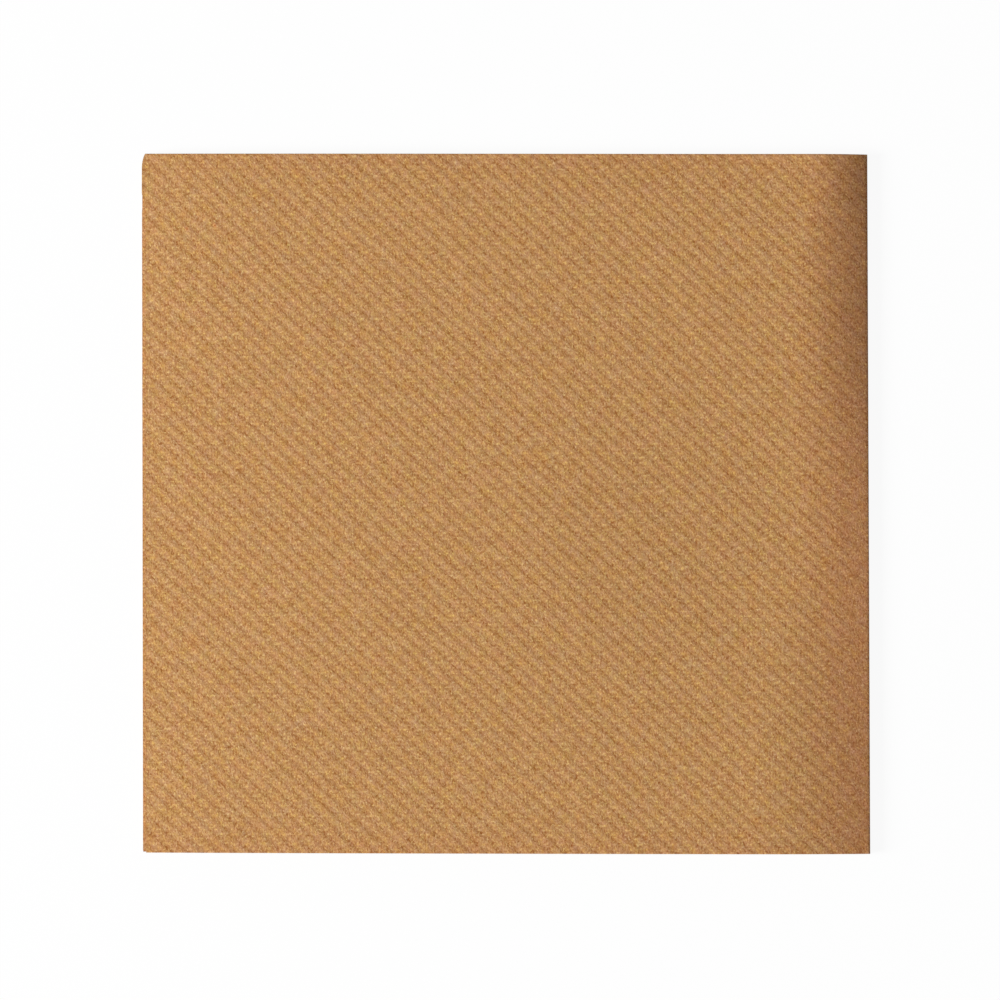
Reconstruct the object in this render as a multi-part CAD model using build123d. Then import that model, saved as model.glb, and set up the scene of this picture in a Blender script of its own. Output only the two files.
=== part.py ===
from build123d import *
import math
import os

# A paper napkin, folded twice into a quarter and lying flat. X runs along the folded width, Y along
# the folded depth and Z up, all in millimetres, with the origin in the middle of the underside.
# The first fold lays the sheet double and leaves a round nose along the back edge. The double sheet
# is called a leaf here. The second fold turns the leaf back over itself, with its nose at the right,
# so the left and front edges are open and the back right corner is the closed one.

# Folded size.
folded_width = 203.5
folded_depth = 196.0

# The sheet, and the air that its folds keep between the layers.
sheet_thickness = 0.45
layer_gap = 0.2  # inside a leaf
leaf_gap = 0.3  # between the two leaves, at the nose of the second fold

# The upper leaf. The springy fold holds it up, and it comes down again to its open edge.
nose_margin = 20.0  # from the nose of the second fold to the level part
nose_rise_angle = 7.0  # degrees
open_margin = 26.0  # from the open edge to the level part
open_edge_gap = 0.9  # between the two leaves at the open edge
leaf_bend_radius = 80.0  # where a sloping margin meets the level part

# Layers slip a little as they are folded, so the open edges don't lie flush.
leaf_setback = 0.5  # of the upper leaf, at the left
layer_setback = 0.4  # of the inner layers, at the front

# The emboss imitates a twill: rows of ridges that step sideways by one thread for each thread down.
warp_pitch = 1.466  # threads along X
weft_pitch = 1.336  # threads along Y
threads_per_ridge = 3
groove_share = 0.36  # of the ridge pitch
emboss_depth = 0.15

# The back left corner was clipped when the sheet was cut.
clipped_width = 0.9
clipped_depth = 1.7

# Cutting shapes reach this far past what they cut.
overrun = 1.0

# Places of the leaf's edges and layers.
left, right = -folded_width / 2, folded_width / 2
front, back = -folded_depth / 2, folded_depth / 2
leaf_thickness = 2 * sheet_thickness + layer_gap
leaf_outside, leaf_inside = leaf_thickness / 2, layer_gap / 2  # from the middle of a leaf
back_nose_start = back - leaf_outside  # where the first fold starts to turn

# The second fold, as a turn of the leaf's middle.
turn_radius = (leaf_thickness + leaf_gap) / 2
turn_x = right - leaf_outside - turn_radius
turn_z = leaf_outside + turn_radius
turn_end_x = turn_x + turn_radius * math.sin(math.radians(nose_rise_angle))
turn_end_z = turn_z + turn_radius * math.cos(math.radians(nose_rise_angle))

# The upper leaf's middle: where its level part starts and ends, and where it comes down to.
level_start_x = right - nose_margin
level_end_x = left + open_margin
level_z = turn_end_z + (turn_end_x - level_start_x) * math.tan(math.radians(nose_rise_angle))
open_z = leaf_thickness + open_edge_gap + leaf_outside
crown_height = level_z + leaf_outside

# The twill's ridges, across their own direction.
ridge_pitch = threads_per_ridge * warp_pitch * weft_pitch / math.hypot(warp_pitch, weft_pitch)
ridge_angle = -math.degrees(math.atan2(weft_pitch, warp_pitch))


def leaf_section():
    """The leaf cut across: two layers that the nose of the first fold joins.

    Its own x is the napkin's Y. Its own y is zero in the middle of the leaf, and the layer with
    negative y becomes the outer one of the folded napkin.
    """
    inner_front = front + layer_setback
    with BuildSketch() as section:
        with BuildLine():
            Polyline(
                (back_nose_start, -leaf_inside),
                (front, -leaf_inside),
                (front, -leaf_outside),
                (back_nose_start, -leaf_outside),
            )
            ThreePointArc((back_nose_start, -leaf_outside), (back, 0), (back_nose_start, leaf_outside))
            Polyline(
                (back_nose_start, leaf_outside),
                (inner_front, leaf_outside),
                (inner_front, leaf_inside),
                (back_nose_start, leaf_inside),
            )
            ThreePointArc(
                (back_nose_start, leaf_inside),
                (back_nose_start + leaf_inside, 0),
                (back_nose_start, -leaf_inside),
            )
        make_face()
    return section.sketch


def lower_path():
    """The middle of the lower leaf and of the turn, up to where the upper leaf starts to rise."""
    with BuildLine(Plane.XZ) as path:
        flat = Line((left, leaf_outside), (turn_x, leaf_outside))
        JernArc(flat @ 1, flat % 1, turn_radius, 180 - nose_rise_angle)
    return path.edges()


def upper_path(end_x):
    """The middle of the upper leaf, from the turn to end_x: it rises, runs level and slopes down."""
    fall = (level_z - open_z) / open_margin
    with BuildLine(Plane.XZ) as path:
        FilletPolyline(
            (turn_end_x, turn_end_z),
            (level_start_x, level_z),
            (level_end_x, level_z),
            (end_x, level_z - fall * (level_end_x - end_x)),
            radius=leaf_bend_radius,
        )
    return path.edges()


def carried(section, path):
    """A section carried along the straight runs and arcs of a path, which all turn the same way."""
    pieces = []
    for run in path:
        start = Plane(origin=run @ 0, x_dir=(0, 1, 0), z_dir=run % 0) * section
        if run.geom_type == GeomType.LINE:
            pieces.append(extrude(start, amount=run.length, dir=run % 0))
        else:
            turn = math.degrees(run.length / run.radius)
            pieces.append(revolve(start, Axis(run.arc_center, (0, -1, 0)), turn))
    return pieces[0].fuse(*pieces[1:]).clean()


def folded_sheet():
    """The plain sheet with both folds, as one solid."""
    return carried(leaf_section(), [*lower_path(), *upper_path(left + leaf_setback)])


def emboss_grooves():
    """The grooves between the ridges of the upper face: slanting bars, each cut down to a skin.

    The skin follows the upper leaf's bends, so that every groove has the same depth.
    """
    with BuildSketch() as section:
        with Locations((back_nose_start, emboss_depth - leaf_outside)):
            Rectangle(
                back_nose_start - front + overrun,
                emboss_depth + overrun,
                align=(Align.MAX, Align.MAX),
            )
    skin = carried(section.sketch, upper_path(left - overrun))
    reach = math.hypot(folded_width, folded_depth)
    rows = GridLocations(ridge_pitch, ridge_pitch, 1, math.ceil(reach / ridge_pitch))
    groove = Rectangle(reach, groove_share * ridge_pitch)
    bars = extrude(
        Sketch() + [Rot(Z=ridge_angle) * row * groove for row in rows],
        amount=crown_height + overrun,
    )
    return skin & bars


def clipped_corner():
    """The small three-cornered piece that is missing from the back left corner of every layer."""
    with BuildSketch() as corner:
        with BuildLine():
            Polyline(
                (left, back - clipped_depth),
                (left + clipped_width, back),
                (left + clipped_width, back + overrun),
                (left - overrun, back + overrun),
                (left - overrun, back - clipped_depth),
                close=True,
            )
        make_face()
    return extrude(corner.sketch, amount=crown_height)


def folded_napkin():
    return folded_sheet() - emboss_grooves() - clipped_corner()


os.makedirs("parts", exist_ok=True)
export_step(folded_napkin(), "parts/folded_napkin.step")
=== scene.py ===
import math

import bpy
import numpy as np
from bpy.props import FloatProperty, FloatVectorProperty, PointerProperty
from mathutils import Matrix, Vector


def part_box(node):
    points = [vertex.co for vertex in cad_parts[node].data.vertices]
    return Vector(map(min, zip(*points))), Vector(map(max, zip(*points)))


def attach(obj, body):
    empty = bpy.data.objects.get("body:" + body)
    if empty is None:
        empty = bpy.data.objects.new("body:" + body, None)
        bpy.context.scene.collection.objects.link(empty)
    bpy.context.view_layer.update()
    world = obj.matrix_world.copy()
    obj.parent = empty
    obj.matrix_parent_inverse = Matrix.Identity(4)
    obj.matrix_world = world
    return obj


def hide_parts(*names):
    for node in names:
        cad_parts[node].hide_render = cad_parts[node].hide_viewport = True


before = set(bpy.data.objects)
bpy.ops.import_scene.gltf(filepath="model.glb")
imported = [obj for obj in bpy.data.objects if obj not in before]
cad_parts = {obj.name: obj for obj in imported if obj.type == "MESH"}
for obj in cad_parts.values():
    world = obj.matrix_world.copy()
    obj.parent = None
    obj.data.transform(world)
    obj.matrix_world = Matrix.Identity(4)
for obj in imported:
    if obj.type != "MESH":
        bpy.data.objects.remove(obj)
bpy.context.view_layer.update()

bl_info = {
    "name": "Folded Paper Napkin",
    "version": (1, 0, 0),
    "blender": (4, 5, 0),
    "location": "View3D > Sidebar > Napkin",
    "description": "A quarter-folded paper napkin with a twill emboss, and a plain studio for it",
    "category": "Add Mesh",
}

# A paper napkin, folded twice into a quarter and seen from straight above. X runs along the folded
# width, Y along the folded depth and Z up, in metres. The first fold lays the sheet double, with its
# nose along the back edge. The double sheet is called a leaf here. Its outer layer becomes both
# outsides of the napkin. The second fold turns the leaf back over itself, with its nose at the right,
# so the left and front edges are open.

MM = 0.001
CAD_NODE = "folded_napkin"
BODY = "root"

# Names of the mesh's map and attributes, which the materials read.
SHEET_MAP = "sheet position"
EMBOSS = "emboss"
MODELLED = "modelled"
# Painted shade: a darker strip along the upper leaf's left edge, where it lies over the lower leaf.
SHADOWED = "shadowed"
# Painted shade: a ruddier tint beside the folds and the front edge.
FOLD_SHADE = "pressed"

# The emboss imitates a twill. Its ridges repeat every third thread and move on by one thread a row.
# All these are in threads: the groove between two ridges, its deeper notch in each row, and the bead
# that stands on the ridge in each row. Odd rows have a shallower notch, and their bead has no tail.
RIDGE_THREADS = 3.0
GROOVE_WIDTH = 0.27
GROOVE_STEP = (0.1, 0.9)
NOTCH_SIZE = (0.23, 0.5)
BEAD_PLACE = (1.4, 0.08)
BEAD_SIZE = (0.27, 0.24)
TAIL_PLACE = (0.9, 0.08)
TAIL_SIZE = (0.48, 0.24)

# What each of them adds to its mask.
GROOVE_SHARE = 0.66
NOTCH_SHARE = 0.42
ODD_NOTCH_SHARE = 0.18
TAIL_SHARE = 0.5

# The paper's specks and fibres: how they are turned on the sheet, in degrees, and drawn out. The
# ruddy patches are drawn out as the grain is, with half a turn more, so that they lie elsewhere.
GRAIN_TURN = -20.0
STEEP_TURN = -14.0
LEVEL_TURN = -40.0
RUDDY_TURN = GRAIN_TURN + 180.0
GRAIN_STRETCH = (0.85, 1.5, 1.0)
FIBRE_STRETCH = (0.6, 2.0, 1.0)

# The noises that they and the paper's patches are made of, and the middle levels of these noises.
GRAIN_NOISE = {"scale": 1.0, "roughness": 0.65}
FIBRE_NOISE = {"scale": 1.0, "detail": 1.0}
FLECK_NOISE = {"scale": 0.8, "detail": 1.0}
CLOUD_NOISE = {"scale": 0.14, "detail": 3.0}
GOLDEN_NOISE = {"scale": 0.14, "detail": 5.0, "roughness": 0.95}
RUDDY_NOISE = {"scale": 0.14, "detail": 5.0, "roughness": 0.85}
NOISE_MIDDLE = 0.5
FIBRES_MIDDLE = 0.56

# The levels of their noise at which the flecks start and are full.
FLECK_LEVELS = (0.6, 0.69)

# The paper's colour lies halfway between the two of a pair, and the noises move it from there.
HALFWAY = 0.5

# Two small ruddy specks near the back left corner: their places on the sheet, and their size.
SPECKS = ((395.8 * MM, 174.9 * MM, 0.0), (387.9 * MM, 175.8 * MM, 0.0))
SPECK_SIZE = 0.5 * MM

# Cells of the mesh where it is coarse, and the step between the fine points that the inner skin keeps.
LOWER_CELLS = 14
NOSE_CELLS = 14
BACK_NOSE_CELLS = 8
INNER_CELLS = 12
SKIN_STEP = 12

# Edges that turn by more than this, in degrees, are shaded sharp.
SHARP_TURN = 50.0

# Where along the depth the second fold's roll-off changes its form, and the upper leaf its slip.
BACK_CHANGE = (-5 * MM, 55 * MM)
FRONT_CHANGE = (15 * MM, 75 * MM)
WIDTH_CHANGE = (0 * MM, 60 * MM)
CORNER_CHANGE = (70 * MM, 92 * MM)
CORNER_SHARE = 0.8
SLIP_CHANGE = (83.5 * MM, 87 * MM)

# The drop to the open edge swells and ebbs along the depth.
SWELL_PLACE = 75 * MM
SWELL_LENGTH = 200 * MM
SWELL_SHARE = 0.33

# Distances over which the upper leaf rises to its crown, gets free of the folds and meets its edges.
CROWN_REACH = 80 * MM
FREE_REACH = 45 * MM
EDGE_REACH = 10 * MM

# How far in from the left edge its painted shade reaches, and the step to each side over which the
# slope is taken.
SHADE_REACH = 1.3 * MM
SLOPE_STEP = 0.1 * MM

# The folds press the emboss flat: how far from each, and what share of it they leave.
FOLD_REACH = 15 * MM
FOLD_LEFT_SHARE = 0.35
BACK_REACH = 3 * MM
BACK_LEFT_SHARE = 0.6

# Painted shade: the roll-off beside the second fold, which turns away from the lamp, gets a ruddier
# tint, and the first fold and the front edge a weaker one: how far in, and how strong that one is.
FOLD_SHADE_REACH = 26 * MM
EDGE_TINT_REACH = 9 * MM
EDGE_TINT_SHARE = 0.35

# Slow waves of the paper: their directions in degrees, lengths and starts.
WAVE_TURNS = (12.0, 47.0, 83.0, 118.0, 154.0, 31.0, 101.0)
WAVE_LENGTHS = (71 * MM, 46 * MM, 58 * MM, 37 * MM, 88 * MM, 24 * MM, 18 * MM)
WAVE_STARTS = (0.3, 2.1, 4.4, 1.2, 5.3, 0.7, 3.6)

# The inner layers have waves of their own: how strong, and how much later they start.
PARTED_WAVES = 0.5
PARTED_START = 1.0

# How far the corners of the folded napkin are off square, as X and Y.
FRONT_LEFT_MOVE = (0.02 * MM, 0.21 * MM)
FRONT_RIGHT_MOVE = (0.58 * MM, -0.30 * MM)
BACK_LEFT_MOVE = (-0.29 * MM, 0.16 * MM)
BACK_RIGHT_MOVE = (-0.23 * MM, -0.02 * MM)

# The picture, and the level at which a pixel of it spans its stated length.
PICTURE_PIXELS = 1000
EDGE_LEVEL = 2.5 * MM
FLOOR_HALF = 5.0
FLOOR_LEVEL = -0.02 * MM

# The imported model's box gives the folded size.
folded_low, folded_high = (np.array(corner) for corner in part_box(CAD_NODE))


def length(name, millimetres, description):
    return FloatProperty(
        name=name,
        description=description,
        default=millimetres * MM,
        precision=5,
        subtype="DISTANCE",
        unit="LENGTH",
    )


def share(name, value, description):
    return FloatProperty(name=name, description=description, default=value, min=0.0, max=1.0)


def contrast(name, value, description):
    return FloatProperty(name=name, description=description, default=value, min=0.0)


def angle(name, degrees, description):
    return FloatProperty(
        name=name,
        description=description,
        default=math.radians(degrees),
        subtype="ANGLE",
        unit="ROTATION",
    )


def colour(name, value, description):
    return FloatVectorProperty(
        name=name,
        description=description,
        default=value,
        size=3,
        min=0.0,
        max=1.0,
        subtype="COLOR",
    )


class NapkinSizes(bpy.types.PropertyGroup):
    """Sizes of the folded sheet and of its emboss"""

    sheet_thickness: length("Sheet thickness", 0.45, "Thickness of the soft paper")
    layer_gap: length("Layer gap", 0.2, "Air between the two layers of a leaf")
    leaf_gap: length("Leaf gap", 0.3, "Air between the leaves, at the nose of the second fold")
    flat_width: length("Flat width", 406.0, "Width of the opened sheet")
    flat_depth: length("Flat depth", 392.0, "Depth of the opened sheet")
    fold_press: length("Fold press", 0.22, "How closely the second fold's nose is pressed together")
    back_press: length("Back press", 0.25, "How closely the first fold's nose is pressed together")

    roll_back: length("Roll at the back", 2.5, "Height of the roll-off beside the second fold there")
    roll_middle: length("Roll in the middle", 1.25, "Its height in the middle of the depth")
    roll_front: length("Roll at the front", 2.4, "Its height there")
    width_back: length("Roll width at the back", 19.0, "How far the roll-off reaches there")
    width_front: length("Roll width at the front", 32.0, "How far it reaches there")
    crown: length("Crown", 2.6, "How far the middle stands up above the second fold's nose")
    open_width: length("Open margin", 24.0, "How far the upper leaf bends down to its open left edge")
    open_drop: length("Open drop", 0.25, "How far it comes down there")
    slant_width: length("Slant width", 80.0, "How far it leans to the left altogether")
    slant_drop: length("Slant drop", 1.0, "How far that takes it down")
    front_width: length("Front margin", 14.0, "How far it curls up to the front edge")
    front_lift: length("Front lift", 0.4, "How far it comes up there")
    back_width: length("Back margin", 14.0, "How far it bends down to the first fold")
    back_drop: length("Back drop", 0.6, "How far it comes down there")
    waviness: length("Waviness", 0.06, "Height of the paper's slow waves")
    parting: share("Parting", 0.2, "Of the air between the leaves that each inner layer takes up")

    slip_back: length("Slip at the back", -0.1, "How far the upper leaf's left edge lies in there")
    slip_front: length("Slip at the front", 1.0, "How far it lies in there")
    lower_reach: length("Lower reach", 0.1, "How far the lower leaf's left edge sticks out")
    layer_setback: length("Layer setback", 0.4, "How far the inner layers lie in at the front")
    clip_width: length("Clip width", 0.9, "Width of the clipped back left corner")
    clip_depth: length("Clip depth", 3.9, "Depth of the clipped back left corner")
    edge_width: length("Edge width", 1.2, "How far in the cut edges are pressed thinner")
    edge_share: share("Edge share", 0.06, "Of the thickness that is pressed out of the cut edges")

    warp_pitch: length("Warp pitch", 1.466, "From thread to thread, along the width")
    weft_pitch: length("Weft pitch", 1.336, "From thread to thread, along the depth")
    emboss_depth: length("Emboss depth", 0.04, "Height of the ridges")
    groove_depth: length("Groove depth", 0.02, "Depth of the grooves and notches besides")
    bead_height: length("Bead height", 0.01, "Height of the beads besides")
    fibre_size: length("Fibre size", 0.5, "Size of the specks that the fibres make")
    edge_fibre_size: length("Edge fibre size", 0.25, "Size of the specks on the cut edges")
    fibre_depth: length("Fibre depth", 0.03, "Height of the bumps that the fibres make")


class NapkinColours(bpy.types.PropertyGroup):
    """Colours of the paper, and how strongly each of its textures shows"""

    # Pale and deep are the two ends of the paper's colour. The specks, fibres and clouds move it
    # between them as the paper's own tone; the beads move it to pale as painted highlight, the grooves
    # to deep as painted shade.
    pale: colour("Pale", (0.719, 0.418, 0.243), "Raised fibres and beads")
    deep: colour("Deep", (0.299, 0.09, 0.009), "The paper between them")
    # Painted glints: the flecks are painted towards this bright colour, and are also less rough.
    glint: colour("Glint", (0.98, 0.68, 0.36), "Scattered flecks that catch the light")
    dull: colour("Dull", (1.0, 1.0, 1.0), "Tint of the dull patches")
    golden: colour("Golden", (1.0, 1.0, 0.49), "Tint of the golden patches")
    ruddy: colour("Ruddy", (1.0, 0.93, 0.885), "Tint of the ruddy patches")
    olive: colour("Olive", (0.9, 1.0, 1.0), "Tint of the olive patches")
    # Painted shade: the tint of the roll-off beside the folds, which turns away from the lamp.
    pressed: colour("Fold shade", (1.0, 0.88, 0.93), "Tint that the folds press into the paper")
    # Painted shade: the darker strip along the upper leaf's left edge.
    shadowed: colour("Shadowed", (0.92, 0.91, 0.89), "Tint of the worn left edge")
    speck: colour("Speck", (1.0, 0.74, 0.62), "Tint of the two small specks")
    cut: colour("Cut edge", (0.47, 0.27, 0.12), "Loose fibres along the cut edges")

    # Painted highlight on the beads and painted shade in the grooves, on top of their relief.
    groove: share("Groove", 0.19, "How much deeper the colour is in the grooves")
    bead: share("Bead", 0.26, "How much paler the colour is on the beads")
    bead_highlight: share("Bead highlight", 0.3, "How much more golden the beads are")
    grain: contrast("Grain", 1.87, "Contrast of the fine specks")
    edge_grain: contrast("Edge grain", 0.8, "Contrast of the specks on the cut edges")
    fibres: contrast("Fibres", 0.95, "Contrast of the short fibres")
    cloud: contrast("Cloud", 0.5, "Contrast of the slow clouds")
    fleck: share("Fleck", 0.42, "How much of the glint's colour the flecks have")
    patches: contrast("Patches", 2.9, "Contrast between the tinted patches")

    roughness: share("Roughness", 0.9, "How rough the paper is")
    fleck_gloss: share("Fleck gloss", 0.2, "How much less rough the flecks are")
    specular: share("Specular", 0.4, "Specular level of the paper")
    edge_roughness: share("Edge roughness", 0.8, "How rough the cut edges are")


class StageSettings(bpy.types.PropertyGroup):
    """The camera, the light and the floor"""

    pixel: length("Pixel", 0.2806, "What one pixel of the picture spans on the napkin")
    lens: FloatProperty(name="Lens", description="Focal length", default=180.0, unit="CAMERA")
    look_x: length("Look at X", -1.585, "Middle of the picture, along the width")
    look_y: length("Look at Y", 1.01, "Middle of the picture, along the depth")
    lamp_distance: length("Lamp distance", 4000.0, "From the napkin to the lamp")
    lamp_size: length("Lamp size", 1500.0, "Side of the square lamp")
    lamp_height: angle("Lamp height", 23.5, "Of the lamp above the floor")
    lamp_turn: angle("Lamp turn", 8.0, "Of the lamp from the left towards the front")
    lamp_share: share("Lamp share", 0.8, "Of a level face's light that comes from the lamp")
    floor: colour("Floor", (0.9, 0.9, 0.9), "Plain pale floor")
    shade_share: share("Shade share", 0.07, "Of the floor's own shading that the camera sees")


def smooth(t):
    """0 below 0 and 1 above 1, joined by the curve 3t² - 2t³."""
    t = np.clip(t, 0.0, 1.0)
    return t * t * (3.0 - 2.0 * t)


def between(value, limits):
    """smooth, from 0 at the first limit to 1 at the second."""
    return smooth((value - limits[0]) / (limits[1] - limits[0]))


def roll(t):
    """1 - (1 - t)², which leaves 0 with a slope of 2 and is level from 1 on."""
    return 1.0 - (1.0 - np.clip(t, 0.0, 1.0)) ** 2


def press(distance, reach):
    """Packs what lies further out ever closer: reach (1 - exp(-distance / reach)), from 0 on."""
    packed = reach * -np.expm1(-np.maximum(distance, 0.0) / reach)
    return np.where(distance > 0.0, packed, distance)


def waves(x, y, start=0.0):
    """Slow waves in the paper: twice the mean of sines that cross it at several angles."""
    turns = np.radians(WAVE_TURNS)
    across = x[..., None] * np.cos(turns) + y[..., None] * np.sin(turns)
    height = np.sin(2 * np.pi * across / np.array(WAVE_LENGTHS) + np.array(WAVE_STARTS) + start)
    return 2.0 * height.mean(axis=-1)


def ridge_height(s, v, size):
    """Height of the twill's ridges at a place on the sheet, from 0 to 1.

    It is (1 - sin(2π (p - q) / 3)) / 2, with p the threads across and q the rows down. The groove
    that the twill group draws lies where it falls the fastest.
    """
    p = -s / size.warp_pitch
    q = -v / size.weft_pitch
    return 0.5 - 0.5 * np.sin(2 * np.pi * (p - q) / RIDGE_THREADS)


class Fold:
    """The places of the leaf's faces and of both noses, worked out from the folded size."""

    def __init__(self, size):
        self.size = size
        self.left, self.front, _ = folded_low
        self.right, self.back, _ = folded_high
        self.inside = size.layer_gap / 2
        self.outside = self.inside + size.sheet_thickness
        self.nose_y = self.back - press(self.outside, size.back_press)
        self.radius = self.outside + size.leaf_gap / 2
        self.turn_z = self.outside + self.radius

    def roll_off(self, y):
        """Height and width of the roll-off beside the second fold.

        Each changes by smooth from one of its named values to the next along the depth.
        """
        size = self.size
        height = size.roll_middle + (size.roll_back - size.roll_middle) * between(y, BACK_CHANGE)
        height = height + (size.roll_front - size.roll_middle) * between(-y, FRONT_CHANGE)
        width = size.width_back + (size.width_front - size.width_back) * between(-y, WIDTH_CHANGE)
        return height, width * (1.0 - (1.0 - CORNER_SHARE) * between(y, CORNER_CHANGE))

    def turn(self, y):
        """The second fold's turn: the slope at which it ends, and the places of its end and middle.

        The slope's tangent is 2 height / width, with which the roll-off starts. The end is where the
        outer face starts to be pressed together, measured from the middle.
        """
        height, width = self.roll_off(y)
        slope = np.arctan2(2 * height, width)
        outer = self.radius + self.outside
        end = outer * np.sin(slope)
        return slope, end, self.right - end - press(outer - end, self.size.fold_press)

    def rise(self, w, x, y):
        """Height of the upper leaf above the end of the turn, at a distance w to the left of it.

        It is the roll-off beside the fold, then the change from there to the crown, less the drops to
        the open left edge and the back, with the lift of the front and the slow waves on top.
        """
        size = self.size
        height, width = self.roll_off(y)
        free = smooth(w / FREE_REACH)
        swell = 1.0 + SWELL_SHARE * (np.cos(2 * np.pi * (y - SWELL_PLACE) / SWELL_LENGTH) - 1.0)
        from_left = x - self.left
        drop = size.open_drop * swell * (1.0 - roll(from_left / size.open_width))
        drop = drop + size.slant_drop * (1.0 - roll(from_left / size.slant_width))
        drop = drop - free * size.front_lift * (1.0 - roll((y - self.front) / size.front_width))
        drop = drop + free * size.back_drop * (1.0 - roll((self.back - y) / size.back_width))
        crown = (size.crown - height) * smooth((w - width) / CROWN_REACH)
        return height * roll(w / width) + crown - drop + free * size.waviness * waves(x, y)

    def clip(self, y):
        """How far in the lower leaf's left edge lies: the clip's width t², from its front end on."""
        size = self.size
        clip = size.clip_width * np.clip((y - self.back) / size.clip_depth + 1.0, 0.0, 1.0) ** 2
        return clip - size.lower_reach

    def slip(self, y):
        """How far the upper leaf's left edge lies in from the lower one's."""
        size = self.size
        return size.slip_front + (size.slip_back - size.slip_front) * between(y, SLIP_CHANGE)


class Cut:
    """The sheet cut across the first fold: the outer layer, the back nose and the inner layer.

    v is the distance along it. y is the place of each skin, offset its distance from the leaf's
    middle, and edge the distance from the cut front edge. The outer layer has a cell for every half
    weft thread.
    """

    def __init__(self, fold):
        size = fold.size
        half = size.weft_pitch / 2
        width = fold.nose_y - fold.front
        self.panel_cells = int(width / half)
        panel = fold.front + np.append(np.arange(self.panel_cells) * half, width)
        inner = np.linspace(fold.nose_y, fold.front + size.layer_setback, INNER_CELLS + 1)
        turn = np.linspace(0.0, np.pi, BACK_NOSE_CELLS + 1)[1:-1]
        self.y, self.offset = [], []
        for radius in (fold.outside, fold.inside):
            nose = fold.nose_y + press(radius * np.sin(turn), size.back_press)
            self.y.append(np.concatenate([panel, nose, inner]))
            sides = np.full(len(panel), radius), radius * np.cos(turn), np.full(len(inner), -radius)
            self.offset.append(np.concatenate(sides))
        middle = (fold.inside + fold.outside) / 2
        beyond = width + middle * np.pi + fold.nose_y - inner
        self.v = np.concatenate([panel - fold.front, width + middle * turn, beyond])
        in_nose = np.full(len(turn), width)
        self.edge = np.concatenate([panel - fold.front, in_nose, inner - inner[-1]])
        self.nose_v = width + middle * np.pi / 2
        self.is_outer = self.v < self.nose_v


class Run:
    """The stations along the second fold's path: the lower leaf, the nose and the upper leaf.

    lower is the share of the lower leaf, turn the share of the turn and w the distance from the
    turn's end, each at its limit where the path isn't in that stretch. The upper leaf has a cell for
    every half warp thread.
    """

    def __init__(self, fold):
        half = fold.size.warp_pitch / 2
        upper_cells = round((fold.right - fold.radius - fold.left) / half)
        flat = np.linspace(0.0, 1.0, LOWER_CELLS + 1)
        bent = np.linspace(0.0, 1.0, NOSE_CELLS + 1)[1:]
        upper = np.arange(1, upper_cells + 1) * half
        self.lower = np.concatenate([flat, np.ones(NOSE_CELLS + upper_cells)])[:, None]
        self.turn = np.concatenate([0.0 * flat, bent, np.ones(upper_cells)])[:, None]
        self.w = np.concatenate([0.0 * flat, 0.0 * bent, upper])[:, None]
        self.fine_start = LOWER_CELLS + NOSE_CELLS


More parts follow.
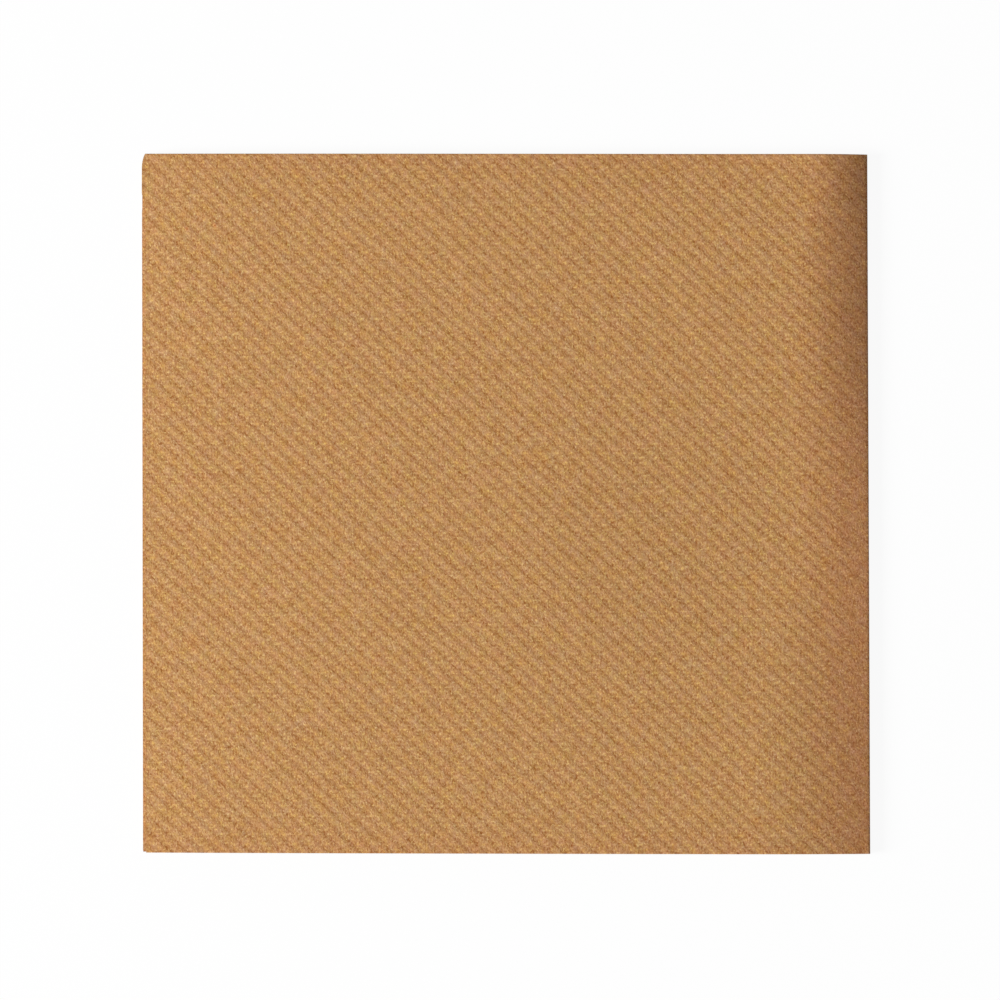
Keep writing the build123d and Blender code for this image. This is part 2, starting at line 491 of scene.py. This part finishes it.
def carry(fold, run, cut, skin):
    """Carries one skin of the cut along the path of the second fold.

    The middle of the path runs level along the lower leaf, turns with its radius until it has the
    slope at which the upper leaf starts, and then follows the leaf's rise. A point of the skin stands
    off from it along its normal, by the offset from the leaf's middle, and the nose is pressed
    together across the width. Returns the points, their places on the flat sheet, how much emboss
    there is, how much of it the mesh has, how much painted shade the upper leaf's left edge has, and
    how strong the painted shade tint is beside the second fold, and more weakly along the first fold
    and the front edge.
    """
    size = fold.size
    y = cut.y[skin][None, :] + 0.0 * run.w
    left = fold.left + fold.clip(y)
    slope, end, turn_x = fold.turn(y)
    reach = turn_x - left - fold.slip(y)
    fixed = reach.min() - EDGE_REACH
    beyond = np.maximum(run.w - fixed, 0.0) / (run.w.max() - fixed)
    w = np.minimum(run.w, fixed) + beyond * (reach - fixed)
    from_turn = (turn_x - left) * (1.0 - run.lower)

    upper = run.w > 0
    away = np.where(upper, w, from_turn)
    rise = fold.rise(away, turn_x - away, y)
    before, after = np.maximum(w - SLOPE_STEP, 0.0), w + SLOPE_STEP
    steep = fold.rise(after, turn_x - after, y) - fold.rise(before, turn_x - before, y)
    steep = steep / (after - before)
    steepness = np.hypot(1.0, steep)
    bend = run.turn * (np.pi - slope) - np.pi / 2
    normal_x = np.where(upper, steep / steepness, np.cos(bend))
    normal_z = np.where(upper, 1.0 / steepness, np.sin(bend))
    x = fold.radius * np.cos(bend) - w * upper - from_turn
    z = fold.turn_z + fold.radius * np.sin(bend) + rise * upper
    s = (turn_x - left) * run.lower + fold.radius * np.pi * run.turn + w * upper

    from_left = np.where(upper, reach - w, (turn_x - left) * run.lower)
    edge = np.clip(1.0 - np.minimum(from_left, cut.edge) / size.edge_width, 0.0, 1.0)
    middle = (cut.offset[0] + cut.offset[1]) / 2
    parted = size.parting * rise * smooth(away / FREE_REACH)
    parted = parted * (1.0 + PARTED_WAVES * waves(turn_x - away, y, PARTED_START))
    parted = parted * smooth((fold.nose_y - y) / EDGE_REACH)
    offset = middle - np.where(cut.is_outer, 0.0, parted)
    offset = offset + (cut.offset[skin] - middle) * (1.0 - size.edge_share * edge ** 2)

    emboss = FOLD_LEFT_SHARE + (1.0 - FOLD_LEFT_SHARE) * smooth(away / FOLD_REACH)
    from_back = smooth(np.abs(cut.v - cut.nose_v) / BACK_REACH)
    emboss = emboss * (BACK_LEFT_SHARE + (1.0 - BACK_LEFT_SHARE) * from_back)
    shown = upper & cut.is_outer & (skin == 0)
    modelled = shown * smooth(w / FOLD_REACH) * smooth((fold.nose_y - y) / size.weft_pitch)
    offset = offset - size.emboss_depth * (1.0 - ridge_height(s, cut.v, size)) * emboss * modelled
    # Painted shade: the upper leaf darkens towards its left cut edge, where it lies over the lower
    # leaf.
    shadowed = upper * np.clip(1.0 - from_left / SHADE_REACH, 0.0, 1.0)
    # Painted shade: a ruddier tint over the roll-off beside the second fold, and a weaker one along the
    # first fold and the front edge.
    to_edge = np.minimum(np.abs(cut.v - cut.nose_v), cut.edge)
    pressed = EDGE_TINT_SHARE * (1.0 - smooth(to_edge / EDGE_TINT_REACH))
    pressed = np.maximum(pressed, 1.0 - smooth(away / FOLD_SHADE_REACH))

    x = x + offset * normal_x
    x = turn_x + np.minimum(x, end) + press(np.maximum(x - end, 0.0), size.fold_press)
    x, y = square_up(fold, x, y)
    points = np.stack([x, y, z + offset * normal_z], -1)
    sheet = np.stack([s, cut.v + 0.0 * s], -1)
    return points, sheet, emboss, modelled, shadowed, pressed


def square_up(fold, x, y):
    """Moves the corners to where they really lie, and all between them in proportion."""
    right = (x - fold.left) / (fold.right - fold.left)
    back = (y - fold.front) / (fold.back - fold.front)
    corners = (
        ((1 - right) * (1 - back), FRONT_LEFT_MOVE),
        (right * (1 - back), FRONT_RIGHT_MOVE),
        ((1 - right) * back, BACK_LEFT_MOVE),
        (right * back, BACK_RIGHT_MOVE),
    )
    for weight, (move_x, move_y) in corners:
        x, y = x + weight * move_x, y + weight * move_y
    return x, y


def kept_places(count, fine_start, fine_end):
    """Places of the inner skin among the outer's: few in the fine stretch, and all outside it."""
    few = np.arange(fine_start + 1, fine_end, SKIN_STEP)
    before, after = np.arange(fine_start + 2), np.arange(fine_end - 1, count)
    return np.unique(np.concatenate([before, few, after]))


def skin_triangles(numbers, outward):
    """Two triangles for each cell, split along the direction in which the ridges run."""
    a, b = numbers[:-1, :-1].ravel(), numbers[:-1, 1:].ravel()
    c, d = numbers[1:, 1:].ravel(), numbers[1:, :-1].ravel()
    if not outward:
        b, d = d, b
    return np.concatenate([np.stack([a, b, c], 1), np.stack([a, c, d], 1)])


def rim_triangles(fine, coarse, places, turned):
    """Joins a border of the outer skin to the inner skin's, which has points only at some places.

    Each edge of the fine border makes a triangle with the nearest coarse point, and each edge of the
    coarse border one with the fine point at which the nearest one changes.
    """
    edge = np.arange(len(fine) - 1)
    nearest = np.searchsorted((places[1:] + places[:-1]) / 2, edge + 0.5)
    change = np.searchsorted(nearest, np.arange(1, len(coarse)))
    strip = np.concatenate([
        np.stack([fine[edge], fine[edge + 1], coarse[nearest]], 1),
        np.stack([coarse[:-1], fine[change], coarse[1:]], 1),
    ])
    return strip[:, ::-1] if turned else strip


def napkin_mesh(size):
    """The folded sheet as one closed mesh: its outer skin, its inner skin and the cut edges between."""
    fold = Fold(size)
    cut, run = Cut(fold), Run(fold)
    outer = carry(fold, run, cut, 0)
    inner = carry(fold, run, cut, 1)
    rows, columns = outer[0].shape[:2]
    keep_rows = kept_places(rows, run.fine_start, rows - 1)
    edge_bends = np.searchsorted(cut.y[0][:cut.panel_cells], SLIP_CHANGE[0])
    keep_columns = kept_places(columns, 0, edge_bends)
    kept = np.ix_(keep_rows, keep_columns)
    outer_count, inner_count = rows * columns, len(keep_rows) * len(keep_columns)
    points, sheet, *attributes = (
        np.concatenate([a.reshape(outer_count, -1), b[kept].reshape(inner_count, -1)])
        for a, b in zip(outer, inner)
    )

    outside = np.arange(outer_count).reshape(rows, columns)
    inside = outer_count + np.arange(inner_count).reshape(len(keep_rows), -1)
    skins = np.concatenate([skin_triangles(outside, True), skin_triangles(inside, False)])
    rims = np.concatenate([
        rim_triangles(outside[0], inside[0], keep_columns, True),
        rim_triangles(outside[-1], inside[-1], keep_columns, False),
        rim_triangles(outside[:, 0], inside[:, 0], keep_rows, False),
        rim_triangles(outside[:, -1], inside[:, -1], keep_rows, True),
    ])
    triangles = np.concatenate([skins, rims])
    corners = triangles.ravel()

    mesh = bpy.data.meshes.new("paper_napkin")
    mesh.vertices.add(len(points))
    mesh.vertices.foreach_set("co", points.astype(np.float32).ravel())
    mesh.loops.add(len(corners))
    mesh.loops.foreach_set("vertex_index", corners.astype(np.int32))
    mesh.polygons.add(len(triangles))
    mesh.polygons.foreach_set("loop_start", np.arange(0, len(corners), 3, dtype=np.int32))
    is_rim = np.arange(len(triangles)) >= len(skins)
    mesh.polygons.foreach_set("material_index", is_rim.astype(np.int32))
    mesh.update(calc_edges=True)
    mesh.shade_smooth()
    mesh.set_sharp_from_angle(angle=math.radians(SHARP_TURN))
    sheet_map = mesh.uv_layers.new(name=SHEET_MAP)
    sheet_map.uv.foreach_set("vector", sheet[corners].astype(np.float32).ravel())
    for name, values in zip((EMBOSS, MODELLED, SHADOWED, FOLD_SHADE), attributes):
        attribute = mesh.attributes.new(name, "FLOAT", "POINT")
        attribute.data.foreach_set("value", values.astype(np.float32).ravel())
    return mesh


class Nodes:
    """Adds nodes to a tree. A term is a number, a colour or another node's output."""

    def __init__(self, tree):
        self.tree = tree

    def node(self, kind, **settings):
        made = self.tree.nodes.new(kind)
        for name, value in settings.items():
            setattr(made, name, value)
        return made

    def feed(self, socket, term):
        if isinstance(term, bpy.types.NodeSocket):
            self.tree.links.new(term, socket)
        elif hasattr(socket.default_value, "__len__") and len(socket.default_value) == 4:
            socket.default_value = (*term, 1.0)
        else:
            socket.default_value = term

    def math(self, operation, *terms):
        made = self.node("ShaderNodeMath", operation=operation)
        for socket, term in zip(made.inputs, terms):
            self.feed(socket, term)
        return made.outputs[0]

    def total(self, *terms):
        result = terms[0]
        for term in terms[1:]:
            result = self.math("ADD", result, term)
        return result

    def product(self, *terms):
        result = terms[0]
        for term in terms[1:]:
            result = self.math("MULTIPLY", result, term)
        return result

    def minus(self, first, second):
        return self.math("SUBTRACT", first, second)

    def square(self, term):
        return self.math("MULTIPLY", term, term)

    def bell(self, squared):
        """exp(-squared): 1 in the middle, and soon 0."""
        return self.math("EXPONENT", self.product(squared, -1.0))

    def span(self, value, low, high, how="SMOOTHSTEP"):
        """From 0 at low to 1 at high, and as smooth does unless stated."""
        made = self.node("ShaderNodeMapRange", interpolation_type=how)
        for socket, term in zip(made.inputs, (value, low, high, 0.0, 1.0)):
            self.feed(socket, term)
        return made.outputs[0]

    def blend(self, amount, first, second, how="MIX"):
        """Two colours mixed. Other sockets of the node have the same names, so they go by number."""
        made = self.node("ShaderNodeMix", data_type="RGBA", blend_type=how)
        self.feed(made.inputs["Factor"], amount)
        self.feed(made.inputs[6], first)
        self.feed(made.inputs[7], second)
        return made.outputs[2]

    def noise(self, position, scale, detail=2.0, roughness=0.5):
        made = self.node("ShaderNodeTexNoise")
        self.feed(made.inputs["Vector"], position)
        self.feed(made.inputs["Scale"], scale)
        self.feed(made.inputs["Detail"], detail)
        self.feed(made.inputs["Roughness"], roughness)
        return made.outputs["Fac"]

    def stretched(self, position, turn, scale):
        """Position for specks that are drawn out by each scale, and then turned about Z."""
        made = self.node("ShaderNodeMapping", vector_type="TEXTURE")
        self.feed(made.inputs["Vector"], position)
        self.feed(made.inputs["Rotation"], (0.0, 0.0, math.radians(turn)))
        self.feed(made.inputs["Scale"], scale)
        return made.outputs[0]

    def to_ridge(self, p):
        """p moved by whole ridges to within half a ridge of 0."""
        half = RIDGE_THREADS / 2
        return self.minus(self.math("FLOORED_MODULO", self.total(p, half), RIDGE_THREADS), half)

    def mound(self, p, q, place, size):
        """exp(-(dp / width)² - (dq / depth)²), with dp and dq from its place, on every ridge."""
        across = self.math("DIVIDE", self.to_ridge(self.minus(p, place[0])), size[0])
        down = self.math("DIVIDE", self.minus(q, place[1]), size[1])
        return self.bell(self.total(self.square(across), self.square(down)))

    def spot(self, position, place, size):
        """exp(-(d / size)²), with d the distance from its place."""
        away = self.node("ShaderNodeVectorMath", operation="DISTANCE")
        self.feed(away.inputs[0], position)
        self.feed(away.inputs[1], place)
        return self.bell(self.square(self.math("DIVIDE", away.outputs["Value"], size)))

    def group(self, tree, **terms):
        made = self.node("ShaderNodeGroup", node_tree=tree)
        for name, term in terms.items():
            self.feed(made.inputs[name.replace("_", " ").capitalize()], term)
        return made.outputs

    def attribute(self, name):
        return self.node("ShaderNodeAttribute", attribute_name=name).outputs["Fac"]


def new_group(name, inputs, outputs):
    """An empty node group with the named inputs and outputs, each given with its kind of socket."""
    tree = bpy.data.node_groups.new(name, "ShaderNodeTree")
    for socket, kind in inputs.items():
        tree.interface.new_socket(socket, in_out="INPUT", socket_type=kind)
    for socket, kind in outputs.items():
        tree.interface.new_socket(socket, in_out="OUTPUT", socket_type=kind)
    nodes = Nodes(tree)
    return tree, nodes, nodes.node("NodeGroupInput").outputs, nodes.node("NodeGroupOutput").inputs


def twill_group():
    """The twill emboss at a place on the sheet: its ridges as in ridge_height, grooves and beads.

    With p the threads across and q the rows down, the groove's middle is at p = row + 3t² - 2t³, with
    t from 0 to 1 over the groove's step in each row, so that it comes down the rows like a stair with
    a slant of 6t (1 - t) / step. Its depth is exp(-(d / width)²), with d the distance from it, square
    to its own direction. Each row has a mound for the notch and one for the bead, and every other row
    one for the bead's tail.
    """
    tree, nodes, given, result = new_group(
        "Twill Emboss",
        {
            "Sheet position": "NodeSocketVector",
            "Warp pitch": "NodeSocketFloat",
            "Weft pitch": "NodeSocketFloat",
        },
        {"Ridge": "NodeSocketFloat", "Groove": "NodeSocketFloat", "Bead": "NodeSocketFloat"},
    )
    split = nodes.node("ShaderNodeSeparateXYZ")
    nodes.feed(split.inputs[0], given["Sheet position"])
    p = nodes.product(nodes.math("DIVIDE", split.outputs["X"], given["Warp pitch"]), -1.0)
    q = nodes.product(nodes.math("DIVIDE", split.outputs["Y"], given["Weft pitch"]), -1.0)
    turn = nodes.product(nodes.minus(p, q), 2 * math.pi / RIDGE_THREADS)
    half_sine = nodes.product(nodes.math("SINE", turn), 0.5)
    nodes.feed(result["Ridge"], nodes.minus(0.5, half_sine))

    row = nodes.math("FLOOR", q)
    into_row = nodes.minus(q, row)
    t = nodes.span(into_row, *GROOVE_STEP, how="LINEAR")
    middle = nodes.total(row, nodes.span(into_row, *GROOVE_STEP))
    slant = nodes.product(t, nodes.minus(1.0, t), 6.0 / (GROOVE_STEP[1] - GROOVE_STEP[0]))
    distance = nodes.math("DIVIDE", nodes.to_ridge(nodes.minus(p, middle)), GROOVE_WIDTH)
    square = nodes.math("DIVIDE", nodes.square(distance), nodes.total(1.0, nodes.square(slant)))
    grooves = [nodes.product(nodes.bell(square), GROOVE_SHARE)]
    beads = []
    for near in (row, nodes.total(row, 1.0)):
        odd = nodes.math("FLOORED_MODULO", near, 2.0)
        p_near, q_near = nodes.minus(p, near), nodes.minus(q, near)
        notch = nodes.mound(p_near, q_near, (0.0, 0.0), NOTCH_SIZE)
        tail = nodes.mound(p_near, q_near, TAIL_PLACE, TAIL_SIZE)
        less = nodes.product(odd, NOTCH_SHARE - ODD_NOTCH_SHARE)
        notch_share = nodes.minus(NOTCH_SHARE, less)
        grooves.append(nodes.product(notch, notch_share))
        beads.append(nodes.mound(p_near, q_near, BEAD_PLACE, BEAD_SIZE))
        beads.append(nodes.product(tail, nodes.minus(1.0, odd), TAIL_SHARE))
    nodes.feed(result["Groove"], nodes.total(*grooves))
    nodes.feed(result["Bead"], nodes.total(*beads))
    return tree


def fibre_group():
    """Soft paper at a given size of its specks: noises of the position divided by that size.

    Grain, Cloud, Golden and Ruddy are each a noise less its middle, and Fibres is the greater of two
    less theirs, so they stay about 0. Fleck goes from 0 to 1 between two levels of its noise. All but
    Cloud and Fleck are turned on the sheet and drawn out.
    """
    names = ("Grain", "Fibres", "Cloud", "Golden", "Ruddy", "Fleck")
    tree, nodes, given, result = new_group(
        "Paper Fibres",
        {"Position": "NodeSocketVector", "Speck size": "NodeSocketFloat"},
        {name: "NodeSocketFloat" for name in names},
    )
    scaled = nodes.node("ShaderNodeVectorMath", operation="SCALE")
    nodes.feed(scaled.inputs["Vector"], given["Position"])
    nodes.feed(scaled.inputs["Scale"], nodes.math("DIVIDE", 1.0, given["Speck size"]))
    position = scaled.outputs[0]
    along = nodes.stretched(position, GRAIN_TURN, GRAIN_STRETCH)
    turned_back = nodes.stretched(position, RUDDY_TURN, GRAIN_STRETCH)
    steep = nodes.noise(nodes.stretched(position, STEEP_TURN, FIBRE_STRETCH), **FIBRE_NOISE)
    level = nodes.noise(nodes.stretched(position, LEVEL_TURN, FIBRE_STRETCH), **FIBRE_NOISE)
    fibres = nodes.math("MAXIMUM", steep, level)
    noises = {
        "Grain": nodes.noise(along, **GRAIN_NOISE),
        "Cloud": nodes.noise(position, **CLOUD_NOISE),
        "Golden": nodes.noise(along, **GOLDEN_NOISE),
        "Ruddy": nodes.noise(turned_back, **RUDDY_NOISE),
    }
    for name, noise in noises.items():
        nodes.feed(result[name], nodes.minus(noise, NOISE_MIDDLE))
    nodes.feed(result["Fibres"], nodes.minus(fibres, FIBRES_MIDDLE))
    nodes.feed(result["Fleck"], nodes.span(nodes.noise(position, **FLECK_NOISE), *FLECK_LEVELS))
    return tree


def new_material(name):
    material = bpy.data.materials.new(name)
    material.use_nodes = True
    material.node_tree.nodes.clear()
    return material, Nodes(material.node_tree)


def paper_material(size, colours, twill, fibres):
    """Soft matt paper: paler on the raised fibres, with painted highlight on the beads and painted
    shade, browner, in the grooves.

    It has flecks painted with glints, patches of several tints, painted shade beside the folds and
    along the upper leaf's left edge, and two small specks.
    """
    material, nodes = new_material("embossed_paper")
    sheet = nodes.node("ShaderNodeUVMap", uv_map=SHEET_MAP).outputs[0]
    pitches = {"warp_pitch": size.warp_pitch, "weft_pitch": size.weft_pitch}
    weave = nodes.group(twill, sheet_position=sheet, **pitches)
    fibre = nodes.group(fibres, position=sheet, speck_size=size.fibre_size)
    emboss, modelled = nodes.attribute(EMBOSS), nodes.attribute(MODELLED)

    # The beads' paleness is painted highlight and the grooves' depth painted shade; the specks, fibres
    # and clouds are the paper's own tone.
    pale = nodes.total(
        HALFWAY,
        nodes.product(weave["Bead"], emboss, colours.bead),
        nodes.product(weave["Groove"], emboss, -colours.groove),
        nodes.product(fibre["Grain"], colours.grain),
        nodes.product(fibre["Fibres"], colours.fibres),
        nodes.product(fibre["Cloud"], colours.cloud),
    )
    # Golden patches, and a painted highlight that makes the beads more golden.
    golden = nodes.total(
        HALFWAY,
        nodes.product(fibre["Golden"], colours.patches),
        nodes.product(weave["Bead"], emboss, colours.bead_highlight),
    )
    ruddy = nodes.total(HALFWAY, nodes.product(fibre["Ruddy"], colours.patches))
    base = nodes.blend(pale, colours.deep, colours.pale)
    # Painted glints: the flecks take on the bright glint colour.
    base = nodes.blend(nodes.product(fibre["Fleck"], colours.fleck), base, colours.glint)
    tints = [
        (1.0, nodes.blend(golden, colours.dull, colours.golden)),
        (1.0, nodes.blend(ruddy, colours.olive, colours.ruddy)),
        # Painted shade: the ruddier tint beside the folds, weaker along the first fold and the front
        # edge.
        (nodes.attribute(FOLD_SHADE), colours.pressed),
        # Painted shade: the darker strip along the upper leaf's left edge.
        (nodes.attribute(SHADOWED), colours.shadowed),
    ]
    tints += [(nodes.spot(sheet, place, SPECK_SIZE), colours.speck) for place in SPECKS]
    for amount, tint in tints:
        base = nodes.blend(amount, base, tint, how="MULTIPLY")

    left_to_bump = nodes.product(nodes.minus(1.0, modelled), size.emboss_depth / MM)
    relief = nodes.total(
        nodes.product(weave["Ridge"], emboss, left_to_bump),
        nodes.product(weave["Bead"], emboss, size.bead_height / MM),
        nodes.product(weave["Groove"], emboss, -size.groove_depth / MM),
        nodes.product(nodes.total(fibre["Grain"], fibre["Fibres"]), size.fibre_depth / MM),
    )
    bump = nodes.node("ShaderNodeBump")
    nodes.feed(bump.inputs["Height"], relief)
    nodes.feed(bump.inputs["Distance"], MM)

    gloss = nodes.product(fibre["Fleck"], colours.fleck_gloss)
    shader = nodes.node("ShaderNodeBsdfPrincipled")
    nodes.feed(shader.inputs["Base Color"], base)
    nodes.feed(shader.inputs["Roughness"], nodes.minus(colours.roughness, gloss))
    nodes.feed(shader.inputs["Normal"], bump.outputs[0])
    shader.inputs["Specular IOR Level"].default_value = colours.specular
    output = nodes.node("ShaderNodeOutputMaterial")
    nodes.feed(output.inputs["Surface"], shader.outputs[0])
    return material


def cut_edge_material(size, colours, fibres):
    """The cut edges: loose fibres, with no emboss."""
    material, nodes = new_material("cut_paper_edge")
    place = nodes.node("ShaderNodeTexCoord").outputs["Object"]
    fibre = nodes.group(fibres, position=place, speck_size=size.edge_fibre_size)
    brightness = nodes.total(1.0, nodes.product(fibre["Grain"], colours.edge_grain))
    tint = nodes.node("ShaderNodeVectorMath", operation="SCALE")
    nodes.feed(tint.inputs[0], nodes.blend(fibre["Fleck"], colours.cut, colours.pale))
    nodes.feed(tint.inputs["Scale"], brightness)
    bump = nodes.node("ShaderNodeBump")
    nodes.feed(bump.inputs["Height"], fibre["Grain"])
    nodes.feed(bump.inputs["Distance"], size.fibre_depth)
    shader = nodes.node("ShaderNodeBsdfPrincipled")
    nodes.feed(shader.inputs["Base Color"], tint.outputs[0])
    nodes.feed(shader.inputs["Normal"], bump.outputs[0])
    shader.inputs["Roughness"].default_value = colours.edge_roughness
    output = nodes.node("ShaderNodeOutputMaterial")
    nodes.feed(output.inputs["Surface"], shader.outputs[0])
    return material


def seen_directly(nodes):
    """1 for what the camera sees, also by a reflection or through glass, and 0 for other light."""
    path = nodes.node("ShaderNodeLightPath").outputs
    mirrored = nodes.math("MAXIMUM", path["Is Glossy Ray"], path["Is Transmission Ray"])
    return nodes.math("MAXIMUM", path["Is Camera Ray"], mirrored)


class NAPKIN_OT_paper_napkin(bpy.types.Operator):
    """Make the folded paper napkin in place of the plain solid"""

    bl_idname = "napkin.paper_napkin"
    bl_label = "Paper napkin"

    def execute(self, context):
        size, colours = context.scene.napkin_sizes, context.scene.napkin_colours
        mesh = napkin_mesh(size)
        fibres = fibre_group()
        mesh.materials.append(paper_material(size, colours, twill_group(), fibres))
        mesh.materials.append(cut_edge_material(size, colours, fibres))
        napkin = bpy.data.objects.new("paper_napkin", mesh)
        context.scene.collection.objects.link(napkin)
        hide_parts(CAD_NODE)
        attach(napkin, BODY)
        return {"FINISHED"}


class NAPKIN_OT_stage(bpy.types.Operator):
    """Make the plain floor, the soft light and the camera"""

    bl_idname = "napkin.stage"
    bl_label = "Stage"

    def execute(self, context):
        stage = context.scene.napkin_stage
        self.floor(context, stage)
        self.world(context, stage)
        self.lamp(context, stage)
        self.camera(context, stage)
        context.scene.view_settings.view_transform = "Standard"
        return {"FINISHED"}

    def floor(self, context, stage):
        """A wide level plane just under the napkin, which the camera sees nearly white."""
        mesh = bpy.data.meshes.new("floor")
        corners = [(-1, -1), (1, -1), (1, 1), (-1, 1)]
        points = [(x * FLOOR_HALF, y * FLOOR_HALF, FLOOR_LEVEL) for x, y in corners]
        mesh.from_pydata(points, [], [(0, 1, 2, 3)])
        material, nodes = new_material("pale_floor")
        glow = nodes.node("ShaderNodeEmission")
        plain = nodes.node("ShaderNodeBsdfDiffuse")
        nodes.feed(plain.inputs["Color"], stage.floor)
        mixed = nodes.node("ShaderNodeMixShader")
        nodes.feed(mixed.inputs["Fac"], nodes.product(seen_directly(nodes), 1.0 - stage.shade_share))
        nodes.feed(mixed.inputs[1], plain.outputs[0])
        nodes.feed(mixed.inputs[2], glow.outputs[0])
        output = nodes.node("ShaderNodeOutputMaterial")
        nodes.feed(output.inputs["Surface"], mixed.outputs[0])
        mesh.materials.append(material)
        floor = bpy.data.objects.new("floor", mesh)
        context.scene.collection.objects.link(floor)

    def world(self, context, stage):
        """Even light from all round, which the camera sees as white."""
        world = bpy.data.worlds.new("studio")
        context.scene.world = world
        world.use_nodes = True
        nodes = Nodes(world.node_tree)
        background = world.node_tree.nodes["Background"]
        background.inputs["Color"].default_value = (1.0, 1.0, 1.0, 1.0)
        ambient = 1.0 - stage.lamp_share
        strength = nodes.total(ambient, nodes.product(seen_directly(nodes), stage.lamp_share))
        nodes.feed(background.inputs["Strength"], strength)

    def lamp(self, context, stage):
        """A square soft lamp, low at the left.

        A lamp of power P gives a level white face a brightness of P sin(height) / (π distance)².
        """
        data = bpy.data.lights.new("soft_lamp", "AREA")
        data.size = stage.lamp_size
        full_power = (math.pi * stage.lamp_distance) ** 2 / math.sin(stage.lamp_height)
        data.energy = stage.lamp_share * full_power
        lamp = bpy.data.objects.new("soft_lamp", data)
        level = stage.lamp_distance * math.cos(stage.lamp_height)
        lamp.location = (
            -level * math.cos(stage.lamp_turn),
            -level * math.sin(stage.lamp_turn),
            stage.lamp_distance * math.sin(stage.lamp_height),
        )
        lamp.rotation_euler = (-lamp.location).to_track_quat("-Z", "Y").to_euler()
        context.scene.collection.objects.link(lamp)

    def camera(self, context, stage):
        """Looks straight down from where a pixel spans its stated length on the napkin's edges."""
        data = bpy.data.cameras.new("camera")
        data.lens = stage.lens
        camera = bpy.data.objects.new("camera", data)
        height = PICTURE_PIXELS * stage.pixel / data.sensor_width * stage.lens
        camera.location = (stage.look_x, stage.look_y, height + EDGE_LEVEL)
        context.scene.collection.objects.link(camera)
        context.scene.camera = camera


class NAPKIN_PT_panel(bpy.types.Panel):
    """Lists what the script makes, with its sizes and colours"""

    bl_idname = "NAPKIN_PT_panel"
    bl_label = "Napkin"
    bl_space_type = "VIEW_3D"
    bl_region_type = "UI"
    bl_category = "Napkin"

    def draw(self, context):
        scene = context.scene
        for operator in OPERATORS:
            self.layout.operator(operator.bl_idname)
        for group in (scene.napkin_sizes, scene.napkin_colours, scene.napkin_stage):
            box = self.layout.box()
            for name in group.bl_rna.properties.keys():
                if name not in ("rna_type", "name"):
                    box.prop(group, name)


OPERATORS = (NAPKIN_OT_paper_napkin, NAPKIN_OT_stage)
GROUPS = {
    "napkin_sizes": NapkinSizes,
    "napkin_colours": NapkinColours,
    "napkin_stage": StageSettings,
}


def register():
    for made in (*GROUPS.values(), *OPERATORS, NAPKIN_PT_panel):
        bpy.utils.register_class(made)
    for name, group in GROUPS.items():
        setattr(bpy.types.Scene, name, PointerProperty(type=group))


def unregister():
    for name in GROUPS:
        delattr(bpy.types.Scene, name)
    for made in (NAPKIN_PT_panel, *OPERATORS, *GROUPS.values()):
        bpy.utils.unregister_class(made)


def main():
    register()
    bpy.ops.napkin.paper_napkin()
    bpy.ops.napkin.stage()


if __name__ == "__main__":
    main()
